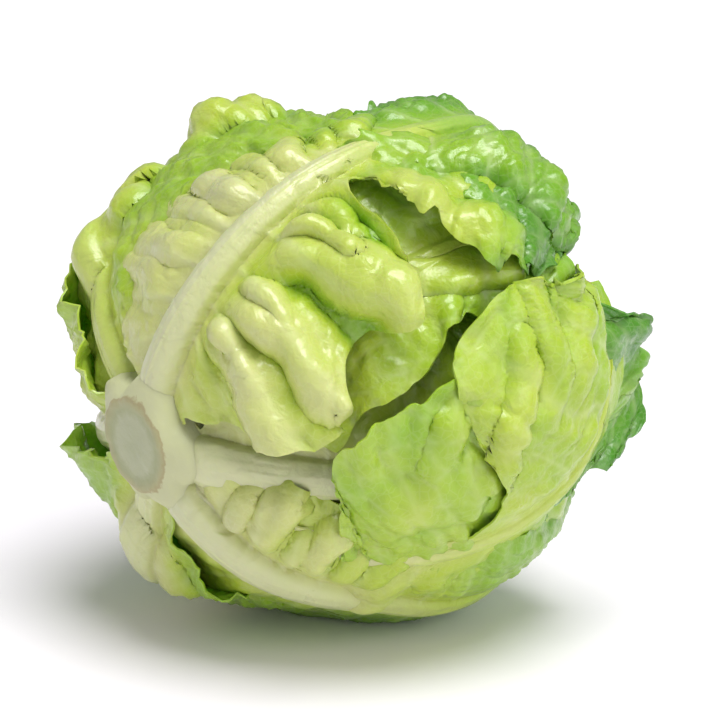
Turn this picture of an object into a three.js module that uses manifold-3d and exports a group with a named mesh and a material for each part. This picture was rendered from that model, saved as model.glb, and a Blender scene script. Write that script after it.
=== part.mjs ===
// A head of butterhead lettuce, lying on its side with the cut stump to the left front.
// Each outer leaf is a thin wrapped blade with a raised midrib. The tight inside is one heart.
import * as THREE from 'three';
import { mergeVertices } from 'three/addons/utils/BufferGeometryUtils.js';
import Module from 'manifold-3d';

// Driving dimensions, in millimetres and degrees
const GLOBE = 78;             // radius of the ball that the leaves wrap round
const CENTRE_HEIGHT = 76;     // height of the ball's middle above the table
const TILT = 82.5;            // lean of the head's axis from upright
const TURN = 40;              // turn of that axis about the upright, away from straight left
const BLADE = 1.0;            // thickness of a leaf blade
const GAP = 0.35;             // clear space between neighbouring pieces
const THREAD = 0.01;          // corners closer than this are one corner
const RIB_TAPER = 0.62;       // share of its width that a midrib loses by the leaf's tip
const STUMP_RADIUS = 14.5;    // the cut face
const STUMP_DEPTH = 80;       // the cut face's distance from the ball's middle
const NECK_RADIUS = 10;       // the stem where the heart starts
const NECK_DEPTH = 50;
const CORE_RADIUS = 53;       // the smooth middle of the heart, which its leaves stand out of

// Leaves, in the order in which they keep their form where two would cross.
// azimuth: the rib's place round the axis, 0 facing the table and -90 facing the front
// radius, rise: distance of the blade from the ball's middle, rise as [share of the rib, offset]
// left, right: the margin as [share of the rib, along, across, lift]
// folds: puffed ridges as [along, across, along, across, half width, half width, height, bow]
const WIDE_MARGIN = [
  [0, 20, 7, 0], [0.1, 34, 20, 0], [0.25, 62, 42, 0], [0.45, 98, 56, 0],
  [0.7, 148, 60, 0], [0.88, 184, 46, 0], [1, 206, 26, 0],
];

const LEAVES = [
  {
    name: 'leaf_draped', colour: 0x8fbf4a, azimuth: -45, radius: 79, start: 14, length: 186, drift: -75,
    left: [
      [0, 14, 5, 0], [0.08, 30, 10, 0], [0.16, 46, 14, 0], [0.3, 72, 18, 0], [0.42, 94, 22, 1],
      [0.54, 104, 28, 1], [0.58, 108, 38, 1], [0.62, 103, 50, 1], [0.66, 91, 62, 2], [0.7, 78, 73, 3],
      [0.735, 75, 81, 3], [0.77, 84, 90, 3], [0.81, 101, 97, 3], [0.86, 130, 99, 2],
      [0.91, 160, 94, 2], [0.95, 184, 86, 3], [1, 200, 81, 4],
    ],
    right: [
      [0, 14, 5, 0], [0.08, 30, 10, 0], [0.16, 46, 18, 0], [0.3, 72, 19, 0], [0.45, 100, 4, -1],
      [0.6, 129, -17, -3], [0.75, 156, -34, -2], [0.88, 182, -48, 0], [1, 205, -66, 2],
    ],
    rib: [4, 1.5], rise: [[0, -3], [0.12, -6], [0.33, -7.5], [0.47, -5], [0.6, -2], [0.7, 0], [1, 1]],
    folds: [
      [104, -42, 118, -78, 5, 8, 3.5, 3], [122, -58, 140, -98, 7, 11, 3.5, -3],
      [140, -60, 172, -86, 7, 10, 3, 0],
    ],
    ruffle: [1.8, 5], seed: 5, rows: 18, columns: 12,
  },
  {
    name: 'leaf_folded', colour: 0xc9d97a, azimuth: -30, radius: 68, start: 14, length: 150, drift: 0,
    left: [
      [0, 14, 5, 0], [0.16, 38, 9, 0], [0.3, 56, 12, 2], [0.4, 66, 20, 4], [0.45, 61, 30, 8],
      [0.5, 51, 41, 12], [0.56, 38, 51, 14], [0.62, 34, 62, 14], [0.7, 40, 76, 12], [0.78, 54, 90, 9],
      [0.87, 84, 96, 5], [0.93, 122, 89, 4], [1, 156, 62, 2],
    ],
    right: [[0, 14, 5, 0], [0.2, 40, 12, 0], [0.5, 85, 30, 0], [0.8, 120, 36, 0], [1, 145, 24, 0]],
    rib: [5, 2.5], rise: [[0, -6], [0.3, -5], [0.5, -3], [0.7, 1], [0.85, 4], [1, 2]],
    folds: [[60, -46, 88, -58, 10, 14, 4, 0], [96, -40, 70, -78, 6, 9, 3, 2]],
    ruffle: [1, 5], seed: 4, rows: 15, columns: 12,
  },
  {
    name: 'leaf_crest', colour: 0xcfdc8c, azimuth: -160, radius: 76, start: 14, length: 176, drift: 0,
    left: [
      [0, 14, 7, 0], [0.06, 18, 12, 0], [0.13, 22, 34, -5], [0.2, 32, 58, -7], [0.28, 50, 62, -6],
      [0.36, 66, 46, -4], [0.43, 81, 31, -3], [0.5, 95, 23, -3], [0.6, 112, 19, -3],
      [0.72, 134, 27, -7], [0.86, 160, 40, -9], [1, 184, 26, -2],
    ],
    right: [
      [0, 14, 7, 0], [0.05, 15, 14, 0], [0.11, 22, 30, 0], [0.18, 26, 46, 0], [0.25, 44, 56, 0],
      [0.3, 56, 46, -3], [0.34, 69, 44, 0], [0.38, 83, 53, 1], [0.43, 95, 34, 2], [0.47, 97, 14, 0],
      [0.515, 102, 10, 0], [0.6, 107, 27, 1], [0.72, 117, 48, 3], [0.87, 150, 54, -3],
      [1, 184, 30, -2],
    ],
    rib: [6.5, 6], rise: [[0, -1], [0.15, 0], [0.45, 0], [0.58, -1], [0.7, 0], [0.85, 4], [1, -4]],
    folds: [
      [86, 7, 95, 40, 6, 11, 8, 6], [66, 11, 82, 52, 8, 13, 10, 3], [54, 10, 44, 48, 7, 11, 9, 4],
      [50, 42, 62, 56, 5, 7, 6, 0], [44, 9, 27, 46, 6, 10, 7, 2], [36, 36, 33, 54, 5, 7, 5, 0],
      [107, 6, 119, 46, 6, 11, 6, -3], [126, 8, 160, 38, 9, 14, 5, 0],
      [115, -4, 120, -17, 4, 6, 3.5, 1], [106, -4, 107, -17, 3, 5, 4.5, -1],
      [98, -4, 101, -20, 4, 6, 3.5, 1], [88, -5, 86, -23, 3, 5, 4.5, 0],
      [80, -6, 80, -26, 3.5, 5, 3.5, 0], [70, -6, 65, -34, 5, 8, 4, -1],
      [58, -6, 53, -40, 3.5, 7, 3.5, 2], [46, -8, 38, -50, 5, 9, 3, 0],
    ],
    ruffle: [1, 5], seed: 1, rows: 35, columns: 19,
  },
  {
    name: 'leaf_base', colour: 0xdbe4b0, azimuth: -34, radius: 75, start: 14, length: 160, drift: 12,
    left: [
      [0, 14, 7, 0], [0.1, 22, 14, 0], [0.18, 34, 25, 1], [0.26, 46, 28, 2], [0.34, 60, 25, 1],
      [0.44, 80, 22, 0], [0.6, 106, 30, -2], [0.8, 134, 32, -2], [1, 168, 14, -2],
    ],
    right: [[0, 14, 7, 0], [0.1, 22, 14, 0], [0.25, 44, 36, 1], [0.6, 104, 60, 5], [1, 164, 44, 1]],
    rib: [8, 6],
    rise: [[0, -1], [0.2, 0], [0.35, -2], [0.48, -3], [0.6, 0], [0.72, 2], [0.86, 1], [1, -1]],
    folds: [
      [38, -8, 37, -20, 3.5, 5, 4.5, 0], [46, -8, 45, -23, 3.5, 5, 5.5, 1],
      [54, -8, 54, -23, 3.5, 5, 5.5, -1], [62, -8, 64, -21, 3.5, 5, 5.5, 1],
      [70, -8, 73, -19, 3.5, 5, 4.5, 0],
    ],
    ruffle: [1.5, 5], seed: 3, rows: 19, columns: 13,
  },
  {
    name: 'leaf_back_low', colour: 0xa9cc5e, azimuth: 25, radius: 74, start: 14, length: 180, drift: 0,
    left: [
      [0, 14, 6, 0], [0.1, 22, 14, 0], [0.2, 40, 24, -3], [0.35, 62, 36, -7], [0.6, 106, 46, -7],
      [0.8, 150, 42, -5], [1, 190, 26, -2],
    ],
    right: [
      [0, 14, 6, 0], [0.08, 18, 16, 3], [0.15, 28, 30, 6], [0.23, 42, 46, 4], [0.4, 72, 52, 2],
      [0.78, 146, 54, 2], [1, 190, 30, 0],
    ],
    rib: [6, 4], rise: [[0, -3], [0.15, 3], [0.3, 5], [0.5, 1], [0.8, 0], [1, -5]],
    folds: [[36, 12, 54, -4, 9, 10, 7, 0]],
    ruffle: [2.2, 5], seed: 8, rows: 15, columns: 11,
  },
  {
    name: 'leaf_back_high', colour: 0xc2d36a, azimuth: 75, radius: 74, start: 14, length: 180, drift: 0,
    left: [
      [0, 14, 6, 0], [0.1, 22, 10, -2], [0.2, 34, 22, -5], [0.3, 50, 38, -7], [0.45, 78, 50, -8],
      [0.8, 148, 54, -7], [1, 190, 32, -3],
    ],
    right: [
      [0, 14, 6, 0], [0.09, 20, 16, 2], [0.17, 32, 32, 7], [0.26, 46, 44, 9], [0.4, 70, 52, 6],
      [0.75, 142, 58, 3], [1, 190, 32, 1],
    ],
    rib: [6, 4], rise: [[0, -3], [0.2, 1], [0.4, 2], [0.8, 1], [1, -5]],
    folds: [],
    ruffle: [2.2, 5], seed: 7, rows: 15, columns: 11,
  },
  {
    name: 'leaf_shoulder', colour: 0xb7ce4f, azimuth: 130, radius: 74, start: 14, length: 176, drift: 0,
    left: [
      [0, 14, 6, 0], [0.1, 22, 14, -3], [0.22, 40, 32, -9], [0.36, 66, 48, -12], [0.6, 112, 58, -11],
      [0.82, 156, 52, -7], [1, 186, 30, -3],
    ],
    right: [
      [0, 14, 6, 0], [0.08, 20, 14, -2], [0.2, 42, 36, -8], [0.33, 66, 52, -8], [0.44, 88, 60, -9],
      [0.54, 106, 66, -11], [0.66, 126, 67, -12], [0.82, 156, 54, -9], [1, 186, 26, -2],
    ],
    rib: [6, 4], rise: [[0, -4], [0.2, 2], [0.4, 3.6], [0.6, 2.6], [0.8, 1], [1, -5]],
    folds: [[56, -10, 80, 8, 12, 13, 7, 0], [101, 24, 117, 32, 9, 12, 10, 0]],
    ruffle: [2, 5], seed: 6, rows: 15, columns: 11,
  },
  {
    name: 'leaf_facing', colour: 0xe0e8c0, azimuth: -79, radius: 67, start: 14, length: 176, drift: 0,
    left: [
      [0, 14, 7, 0], [0.1, 22, 16, -2], [0.28, 48, 38, -5], [0.5, 90, 52, -6], [0.75, 130, 52, -6],
      [1, 178, 24, 2],
    ],
    right: [
      [0, 14, 7, 0], [0.1, 24, 10, 0], [0.28, 56, 22, -4], [0.5, 90, 28, -4], [0.75, 130, 18, -2],
      [1, 176, 10, 3],
    ],
    rib: [8, 6], rise: [[0, 7], [0.12, 2], [0.3, 1], [0.6, 2], [0.8, 8.5], [1, 17]],
    folds: [],
    ruffle: [2, 5], seed: 2, rows: 16, columns: 11,
  },
  {
    name: 'leaf_tucked', colour: 0x8cc23f, azimuth: -130, radius: 70, start: 14, length: 145, drift: 0,
    left: [
      [0, 14, 5, 0], [0.1, 24, 9, 0], [0.3, 56, 16, -3], [0.5, 86, 40, -3], [0.8, 120, 44, 0],
      [1, 150, 28, 0],
    ],
    right: [
      [0, 14, 5, 0], [0.15, 36, 12, 0], [0.28, 52, 36, 5], [0.36, 62, 34, 6], [0.45, 76, 31, 6],
      [0.54, 90, 30, 6], [0.6, 98, 24, 5], [0.68, 106, 20, 3], [0.8, 124, 24, 0], [1, 150, 22, 0],
    ],
    rib: [5, 2.5], rise: [[0, -7], [0.4, -1], [0.6, 2], [0.8, 5], [1, 6]],
    folds: [[98, 6, 128, 12, 5, 7, 4, 0], [108, -14, 134, -8, 5, 8, 4, 2]],
    ruffle: [1.2, 5], seed: 11, rows: 14, columns: 10,
  },
  {
    name: 'leaf_inner_top', colour: 0xa4c94f, azimuth: 165, radius: 64, start: 20, length: 190, drift: 0,
    left: WIDE_MARGIN, right: WIDE_MARGIN,
    rib: [5, 2.5], rise: [[0, -6], [0.3, -1], [0.8, 1], [1, -3]],
    folds: [],
    ruffle: [1.6, 5], seed: 9, rows: 13, columns: 9,
  },
  {
    name: 'leaf_inner_side', colour: 0xa4c94f, azimuth: 50, radius: 64, start: 20, length: 190, drift: 0,
    left: WIDE_MARGIN, right: WIDE_MARGIN,
    rib: [5, 2.5], rise: [[0, -6], [0.3, -1], [0.8, 1], [1, -3]],
    folds: [],
    ruffle: [1.6, 5], seed: 10, rows: 13, columns: 9,
  },
];

// The leaves of the heart close over the crown. They grow out of the core.
const HEART_MARGIN = [
  [0, 70, 10, -2], [0.2, 96, 42, 0], [0.5, 140, 58, 1], [0.8, 190, 50, 2], [1, 226, 26, 3],
];
const HEART_LEAVES = [-110, 10, 130].map((azimuth, turn) => ({
  azimuth, radius: 56 + 2 * turn, start: 66, length: 168, drift: 0,
  left: HEART_MARGIN, right: HEART_MARGIN,
  rib: [5, 2], rise: [[0, -7 - 2 * turn], [0.25, 0], [0.7, 1], [1, 2]],
  folds: [],
  ruffle: [1.6, 4], seed: 20 + turn, rows: 10, columns: 8,
}));

// Smooth curve through one column of a table, at x in the table's first column
function curveAt(rows, column, x) {
  const last = rows.length - 1;
  const slope = (i) => {
    const a = rows[Math.max(i - 1, 0)];
    const b = rows[Math.min(i + 1, last)];
    return (b[column] - a[column]) / (b[0] - a[0]);
  };
  const at = THREE.MathUtils.clamp(x, rows[0][0], rows[last][0]);
  let i = 0;
  while (i < last - 1 && at >= rows[i + 1][0]) i += 1;
  const span = rows[i + 1][0] - rows[i][0];
  const t = (at - rows[i][0]) / span;
  const start = (2 * t ** 3 - 3 * t ** 2 + 1) * rows[i][column];
  const leaving = (t ** 3 - 2 * t ** 2 + t) * span * slope(i);
  const end = (3 * t ** 2 - 2 * t ** 3) * rows[i + 1][column];
  const arriving = (t ** 3 - t ** 2) * span * slope(i + 1);
  return start + leaving + end + arriving;
}

// Height that one puffed fold adds at a place on the flat leaf
function foldHeight([along0, across0, along1, across1, half0, half1, height, bow], along, across) {
  const run = along1 - along0;
  const side = across1 - across0;
  const reach = Math.hypot(run, side);
  const share = ((along - along0) * run + (across - across0) * side) / reach ** 2;
  const near = THREE.MathUtils.clamp(share, 0, 1);
  const off = ((along - along0) * side - (across - across0) * run) / reach - bow * 4 * near * (1 - near);
  const past = (share - near) * reach;
  const half = half0 + (half1 - half0) * near;
  const crown = Math.max(1 - (off ** 2 + past ** 2) / half ** 2, 0) ** 0.75;
  return height * crown * THREE.MathUtils.smoothstep(share, -0.15, 0.45);
}

// Wave of the blade, which grows towards the margin and dies away where the blade narrows to a stalk
function ruffleHeight({ ruffle: [size, waves], seed }, u, v, width) {
  const smoothstep = THREE.MathUtils.smoothstep;
  const side = smoothstep(Math.abs(v), 0.35, 1);
  const tip = 0.9 * smoothstep(u, 0.75, 1) * (1 - side);
  const arc = u * waves + v * waves * 0.35 * smoothstep(u, 0.6, 1);
  const turn = 2 * Math.PI * arc;
  const phase = 1.7 * seed;
  const wave = Math.sin(turn + phase) + 0.5 * Math.sin(1.71 * turn + 2.1 * phase + 2 * v);
  return size * (side + tip) * wave * smoothstep(width, 6, 30);
}

// Place on the flat leaf: u runs up the rib, v from -1 at the left margin to 1 at the right one
function flatPlace(leaf, u, v) {
  const rows = v < 0 ? leaf.left : leaf.right;
  const sign = v < 0 ? -1 : 1;
  const reach = Math.abs(v);
  const ribAlong = leaf.start + leaf.length * u;
  const ribAcross = leaf.drift * u ** 2;
  const width = sign * curveAt(rows, 2, u) - ribAcross;
  return {
    along: ribAlong + (curveAt(rows, 1, u) - ribAlong) * reach ** 1.7,
    across: ribAcross + width * reach,
    lift: curveAt(rows, 3, u) * reach ** 2,
    width: Math.abs(width),
    ribAcross,
  };
}

const POSE = new THREE.Matrix4()
  .makeTranslation(0, 0, CENTRE_HEIGHT)
  .multiply(new THREE.Matrix4().makeRotationZ(THREE.MathUtils.degToRad(TURN)))
  .multiply(new THREE.Matrix4().makeRotationY(THREE.MathUtils.degToRad(TILT)));

// Middle of the blade at u, v, in the head's place on the table
function bladePoint(leaf, u, v) {
  const { along, across, lift, width } = flatPlace(leaf, u, v);
  const puff = Math.max(0, ...leaf.folds.map((fold) => foldHeight(fold, along, across)));
  const ruffle = ruffleHeight(leaf, u, v, width);
  const radius = leaf.radius + curveAt(leaf.rise, 1, u) + lift + puff + ruffle;
  const azimuth = THREE.MathUtils.degToRad(leaf.azimuth);
  const polar = along / GLOBE;
  const swing = across / GLOBE;
  const outward = new THREE.Vector3(Math.cos(azimuth), Math.sin(azimuth), 0);
  const sideways = new THREE.Vector3(-Math.sin(azimuth), Math.cos(azimuth), 0);
  return new THREE.Vector3(0, 0, -Math.cos(polar))
    .addScaledVector(outward, Math.sin(polar))
    .multiplyScalar(Math.cos(swing))
    .addScaledVector(sideways, Math.sin(swing))
    .multiplyScalar(radius)
    .applyMatrix4(POSE);
}

// Height of the midrib on the outer face
function ribHeight(leaf, u, across) {
  const half = leaf.rib[0] * (1 - RIB_TAPER * u);
  const height = leaf.rib[1] * (1 - u) ** 0.8;
  return height * Math.sqrt(Math.max(1 - (across / half) ** 2, 0));
}

// Outward step at each corner of a sheet that moves every facet round it by one unit or more
function cornerSteps(points, facets) {
  const sheet = new THREE.BufferGeometry().setFromPoints(points);
  sheet.setIndex(facets);
  sheet.computeVertexNormals();
  const normals = sheet.getAttribute('normal');
  const steps = points.map((point, i) => new THREE.Vector3().fromBufferAttribute(normals, i));
  const least = points.map(() => 1);
  for (let i = 0; i < facets.length; i += 3) {
    const corners = facets.slice(i, i + 3);
    const facing = new THREE.Triangle(...corners.map((corner) => points[corner])).getNormal(new THREE.Vector3());
    for (const corner of corners) {
      if (facing.lengthSq() > 0) least[corner] = Math.min(least[corner], steps[corner].dot(facing));
    }
  }
  return steps.map((step, i) => step.divideScalar(Math.max(least[i], 0.5)));
}

// Closed blade, with an outer face, an inner face split alike, and a rim. extra thickens it all round.
function leafGeometry(leaf, extra = 0) {
  const { rows, columns } = leaf;
  const middle = [];
  const ribs = [];
  for (let i = 0; i < rows; i += 1) {
    for (let j = 0; j < columns; j += 1) {
      const u = i / (rows - 1);
      const t = 2 * j / (columns - 1) - 1;
      const v = Math.sign(t) * Math.abs(t) ** 1.35;
      const place = flatPlace(leaf, u, v);
      const point = bladePoint(leaf, u, v);
      if (extra > 0) {
        const edgeU = i === 0 ? -1 : Number(i === rows - 1);
        const edgeV = j === 0 ? -1 : Number(j === columns - 1);
        const away = point.clone().sub(bladePoint(leaf, u - 0.01 * edgeU, v - 0.01 * edgeV));
        if (away.lengthSq() > 0) point.addScaledVector(away.normalize(), 1.6 * extra);
      }
      point.z = Math.max(point.z, BLADE / 2);
      middle.push(point);
      ribs.push(ribHeight(leaf, u, place.across - place.ribAcross));
    }
  }
  const facets = [];
  for (let i = 0; i < rows - 1; i += 1) {
    for (let j = 0; j < columns - 1; j += 1) {
      const a = i * columns + j;
      facets.push(a, a + 1, a + columns + 1, a, a + columns + 1, a + columns);
    }
  }
  const steps = cornerSteps(middle, facets);
  const half = BLADE / 2 + extra;
  const face = (size) => middle.map((point, i) => {
    const moved = point.clone().addScaledVector(steps[i], size(i));
    moved.z = Math.max(moved.z, -extra);
    return moved;
  });
  const outer = face((i) => half + ribs[i]);
  const inner = face(() => -half);
  const count = outer.length;
  const faces = [...facets];
  for (let i = 0; i < facets.length; i += 3) {
    faces.push(count + facets[i], count + facets[i + 2], count + facets[i + 1]);
  }
  const rim = (a, b) => faces.push(b, a, count + a, b, count + a, count + b);
  for (let j = 0; j < columns - 1; j += 1) {
    rim(j, j + 1);
    rim((rows - 1) * columns + j + 1, (rows - 1) * columns + j);
  }
  for (let i = 0; i < rows - 1; i += 1) {
    rim((i + 1) * columns, i * columns);
    rim(i * columns + columns - 1, (i + 1) * columns + columns - 1);
  }
  const geometry = new THREE.BufferGeometry().setFromPoints([...outer, ...inner]);
  geometry.setIndex(faces);
  return geometry;
}

// The stem from its cut face to the neck inside the head
function stemGeometry(extra = 0) {
  const profile = [
    [0, STUMP_DEPTH + extra],
    [STUMP_RADIUS - 1 + extra, STUMP_DEPTH + extra],
    [STUMP_RADIUS + extra, STUMP_DEPTH - 1.5],
    [STUMP_RADIUS - 0.5 + extra, STUMP_DEPTH - 6],
    [NECK_RADIUS + 2 + extra, STUMP_DEPTH - 16],
    [NECK_RADIUS + extra, NECK_DEPTH - extra],
    [0, NECK_DEPTH - extra],
  ].map(([radius, depth]) => new THREE.Vector2(radius, -depth));
  return new THREE.LatheGeometry(profile, 28)
    .rotateX(Math.PI / 2)
    .applyMatrix4(POSE);
}

// The heart's core
function coreGeometry() {
  return new THREE.SphereGeometry(CORE_RADIUS, 18, 12).applyMatrix4(POSE);
}

const wasm = await Module();
wasm.setup();

function toSolid(geometry, tolerance = 1e-5) {
  const bare = geometry.clone();
  bare.deleteAttribute('normal');
  bare.deleteAttribute('uv');
  const merged = mergeVertices(bare, tolerance);
  return new wasm.Manifold(new wasm.Mesh({
    numProp: 3,
    vertProperties: new Float32Array(merged.getAttribute('position').array),
    triVerts: new Uint32Array(merged.getIndex().array),
  }));
}

function toGeometry(solid) {
  const mesh = solid.getMesh();
  const geometry = new THREE.BufferGeometry();
  geometry.setAttribute('position', new THREE.BufferAttribute(new Float32Array(mesh.vertProperties), 3));
  geometry.setIndex([...mesh.triVerts]);
  geometry.computeVertexNormals();
  return geometry;
}

// The room that a piece takes: its thickened form, and itself moved by the gap along each axis
function clearRoom(thickened, geometry) {
  const moves = [[1, 0, 0], [0, 1, 0], [0, 0, 1]].flatMap(([x, y, z]) => [[x, y, z], [-x, -y, -z]]);
  return moves
    .map(([x, y, z]) => toSolid(geometry.clone().translate(x * GAP, y * GAP, z * GAP)))
    .reduce((room, moved) => room.add(moved), toSolid(thickened));
}

// The largest piece of a solid that cutting may have split, also where it hangs on by a thread
function largestPiece(solid) {
  let pieces = solid.decompose();
  do {
    const largest = pieces.reduce((best, piece) => (piece.volume() > best.volume() ? piece : best));
    pieces = toSolid(toGeometry(largest.simplify(THREAD)), THREAD).decompose();
  } while (pieces.length > 1);
  return pieces[0];
}

function addPiece(group, name, colour, solid) {
  const material = new THREE.MeshStandardMaterial({ color: colour, roughness: 0.5, metalness: 0 });
  const mesh = new THREE.Mesh(toGeometry(solid), material);
  mesh.name = name;
  group.add(mesh);
}

// Assembly: the stem first, then each leaf cut clear of those before it, and the heart last
const lettuce = new THREE.Group();
const taken = [clearRoom(stemGeometry(GAP), stemGeometry())];
addPiece(lettuce, 'stem', 0xdfe3c4, toSolid(stemGeometry()));

for (const leaf of LEAVES) {
  const cut = taken.reduce((solid, other) => solid.subtract(other), toSolid(leafGeometry(leaf)));
  addPiece(lettuce, leaf.name, leaf.colour, largestPiece(cut));
  taken.push(clearRoom(leafGeometry(leaf, GAP), leafGeometry(leaf)));
}

const heart = HEART_LEAVES
  .map((leaf) => toSolid(leafGeometry(leaf)))
  .reduce((solid, leaf) => solid.add(leaf), toSolid(coreGeometry()));
addPiece(lettuce, 'heart', 0xb9d46a, largestPiece(taken.reduce((solid, other) => solid.subtract(other), heart)));

export default lettuce;
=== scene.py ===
"""A head of butterhead lettuce, lying on its side with its cut stump to the left front.

Each leaf is a grid wrapped round a ball, shaped by rows of margin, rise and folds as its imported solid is.
Pleats, puckers, veins and frills are then raised on it in real millimetres.
"""
import logging
import math
from dataclasses import dataclass, field
from enum import Enum, IntEnum
from typing import Any

import bpy
import numpy as np
from mathutils import Matrix, Vector

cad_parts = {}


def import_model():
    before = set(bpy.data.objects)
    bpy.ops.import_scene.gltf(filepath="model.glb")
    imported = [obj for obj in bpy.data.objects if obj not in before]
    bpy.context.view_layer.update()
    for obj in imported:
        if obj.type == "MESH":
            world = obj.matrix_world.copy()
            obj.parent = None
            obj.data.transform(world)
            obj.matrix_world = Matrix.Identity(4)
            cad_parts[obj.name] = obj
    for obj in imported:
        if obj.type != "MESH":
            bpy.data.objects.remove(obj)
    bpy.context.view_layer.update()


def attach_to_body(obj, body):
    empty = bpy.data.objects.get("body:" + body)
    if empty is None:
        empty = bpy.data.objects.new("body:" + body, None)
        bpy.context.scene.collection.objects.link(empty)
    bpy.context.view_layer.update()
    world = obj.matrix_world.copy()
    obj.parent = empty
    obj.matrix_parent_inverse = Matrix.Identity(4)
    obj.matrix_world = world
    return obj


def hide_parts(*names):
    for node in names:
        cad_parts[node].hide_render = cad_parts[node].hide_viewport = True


log = logging.getLogger("lettuce")

MM = 0.001
GLOBE = 78.0                  # radius of the ball that the leaves wrap round, mm
CENTRE_HEIGHT = 76.0          # height of the ball's middle above the table, mm
TILT = math.radians(82.5)     # lean of the head's axis from upright
TURN = math.radians(40)       # turn of that axis about the upright, away from straight left
CORE_RADIUS = 53.0            # the smooth middle of the heart, mm
CORE_TONE = 0.35

BLADE = 0.6                   # thickness of a leaf blade, mm
RIB_TAPER = 0.62              # share of its width that a midrib loses by the leaf's tip
RIB_FADE = 0.8                # power by which a midrib's height fades towards the tip
FOOT = 0.05                   # share of a leaf's length in which its foot comes out of the stump
SINK = 3.0                    # how far the foot starts inside the stump, mm
SUNK_RIB = 0.6                # share of its height that the midrib lacks there
SWEEP = 1.7                   # power by which a row of the grid sweeps towards its place on the margin
FRILL_SPACING = 7.0           # mm along the margin between two frills
FINER = 2.3                   # how much closer the second, finer layer of frills and puckers is
TABLE_SIZE = 64               # rows and columns of a table of random draws
TINY = 1e-9

Array = np.ndarray


class Draw(IntEnum):
    """What each table of random draws shapes. The value is added to the leaf's own seed."""

    FINE_FRILL = 0
    SWAY = 11
    SWING = 12
    SWELL = 13
    WANDER = 30
    PUCKER = 50
    CREASE = 55
    WRINKLE = 56
    BUBBLE = 60
    FRILL = 70
    RIB_GRAIN = 80
    PATCH = 90


class Slot(Enum):
    """The record's material slots."""

    STEM = "stem_flesh"
    PALE = "pale_blade"
    LEAF = "leaf_blade"
    HEART = "heart_blade"


def smooth(low: float, high: float, x: Array) -> Array:
    """Eased step from 0 at low to 1 at high."""
    t = np.clip((x - low) / (high - low), 0, 1)
    return t * t * (3 - 2 * t)


def curve_at(rows: tuple, column: int, x: Array) -> Array:
    """Smooth curve through one column of a table of rows.

    Args:
        rows: Rows whose first number is the place.
        column: The column to follow.
        x: Places to read it at.

    Returns:
        The curve's values.
    """
    table = np.array(rows, float)
    at, value = table[:, 0], table[:, column]
    slope = np.empty_like(value)
    slope[1:-1] = (value[2:] - value[:-2]) / (at[2:] - at[:-2])
    slope[0] = (value[1] - value[0]) / (at[1] - at[0])
    slope[-1] = (value[-1] - value[-2]) / (at[-1] - at[-2])
    x = np.clip(x, at[0], at[-1])
    i = np.clip(np.searchsorted(at, x, side="right") - 1, 0, len(at) - 2)
    span = at[i + 1] - at[i]
    t = (x - at[i]) / span
    start = (2 * t**3 - 3 * t**2 + 1) * value[i] + (t**3 - 2 * t**2 + t) * span * slope[i]
    return start + (3 * t**2 - 2 * t**3) * value[i + 1] + (t**3 - t**2) * span * slope[i + 1]


def waver(x: Array, y: Array, seed: int) -> Array:
    """Smooth random height, with bumps one unit apart.

    Args:
        x: Places one way, in bumps.
        y: Places the other way, in bumps.
        seed: Seed of the random draws.

    Returns:
        Heights from -1 to 1.
    """
    table = np.random.default_rng(seed).uniform(-1, 1, (TABLE_SIZE, TABLE_SIZE))
    i, j = np.floor(x).astype(int), np.floor(y).astype(int)
    fx, fy = x - i, y - j
    fx, fy = fx**3 * (fx * (6 * fx - 15) + 10), fy**3 * (fy * (6 * fy - 15) + 10)
    corner = {(a, b): table[(i + a) % TABLE_SIZE, (j + b) % TABLE_SIZE] for a in (0, 1) for b in (0, 1)}
    near = corner[0, 0] * (1 - fx) + corner[1, 0] * fx
    far = corner[0, 1] * (1 - fx) + corner[1, 1] * fx
    return near * (1 - fy) + far * fy


def cell_walls(x: Array, y: Array, seed: int) -> Array:
    """Random cells, about one unit wide.

    Args:
        x: Places one way, in cells.
        y: Places the other way, in cells.
        seed: Seed of the random draws.

    Returns:
        How far inside its cell each place is: 0 on a wall between two cells, about 1 in the middle.
    """
    table = np.random.default_rng(seed).uniform(0.12, 0.88, (TABLE_SIZE, TABLE_SIZE, 2))
    i, j = np.floor(x).astype(int), np.floor(y).astype(int)
    far_off = 9.0
    first, second = np.full(x.shape, far_off), np.full(x.shape, far_off)
    for a in (-1, 0, 1):
        for b in (-1, 0, 1):
            spot = table[(i + a) % TABLE_SIZE, (j + b) % TABLE_SIZE]
            gap = np.hypot(i + a + spot[..., 0] - x, j + b + spot[..., 1] - y)
            second = np.minimum(second, np.maximum(first, gap))
            first = np.minimum(first, gap)
    return second - first


def place(azimuth: float, along: Array, across: Array, radius: Array) -> Array:
    """Turns geodesic places on the ball into places on the table.

    Args:
        azimuth: The leaf's place round the head's axis, in degrees.
        along: Distance from the stump, over the ball, mm.
        across: Distance from the leaf's meridian, mm.
        radius: Distance from the ball's middle, mm.

    Returns:
        Points with a last axis of x, y, z, in millimetres.
    """
    turn = math.radians(azimuth)
    outward = np.array([math.cos(turn), math.sin(turn), 0.0])
    sideways = np.array([-math.sin(turn), math.cos(turn), 0.0])
    axis = np.array([0.0, 0.0, 1.0])
    polar, swing = (along / GLOBE)[..., None], (across / GLOBE)[..., None]
    line = np.sin(polar) * outward - np.cos(polar) * axis
    return pose((np.cos(swing) * line + np.sin(swing) * sideways) * radius[..., None])


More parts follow.
